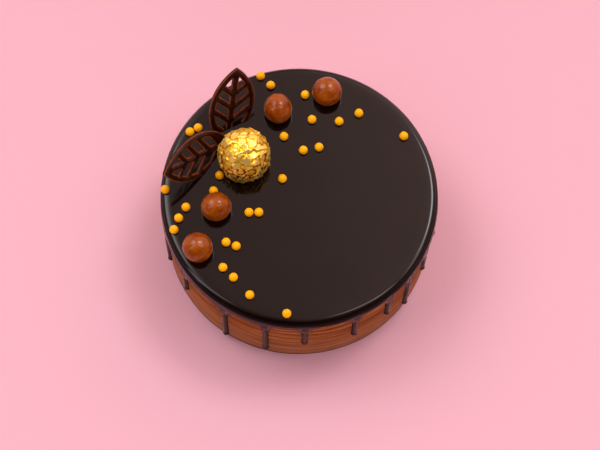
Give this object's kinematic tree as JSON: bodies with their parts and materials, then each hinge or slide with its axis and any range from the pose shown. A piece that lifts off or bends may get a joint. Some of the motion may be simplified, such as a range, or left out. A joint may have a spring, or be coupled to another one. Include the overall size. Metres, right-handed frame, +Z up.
{
  "type": "glazed chocolate cake",
  "caption": "Uncut round chocolate cake with a mirror glaze that drips down its side, topped with lattice leaves, chocolate balls and a sweet in gold foil.",
  "frame": {"origin": "centre of the flat base, on the axis of the cake", "axes": "+Z up along the axis of the cake; -Y towards the side the cake was seen from, +X to its right"},
  "size_m": [0.1592, 0.16, 0.0978],
  "materials": {
    "cream": "combed chocolate cream, satin",
    "glaze": "mirror gloss",
    "dark_chocolate": "moulded dark chocolate, satin",
    "gold_foil": "crumpled gold foil",
    "milk_chocolate": "polished milk chocolate",
    "sugar": "satin sugar pearls"
  },
  "bodies": {
    "root": {"cake_body": "cream", "glaze": "glaze", "leaf_back": "dark_chocolate", "leaf_left": "dark_chocolate", "foil_sweet": "gold_foil", "chocolate_ball_1": "milk_chocolate", "chocolate_ball_2": "milk_chocolate", "chocolate_ball_3": "milk_chocolate", "chocolate_ball_4": "milk_chocolate"}
  },
  "joints": []
}
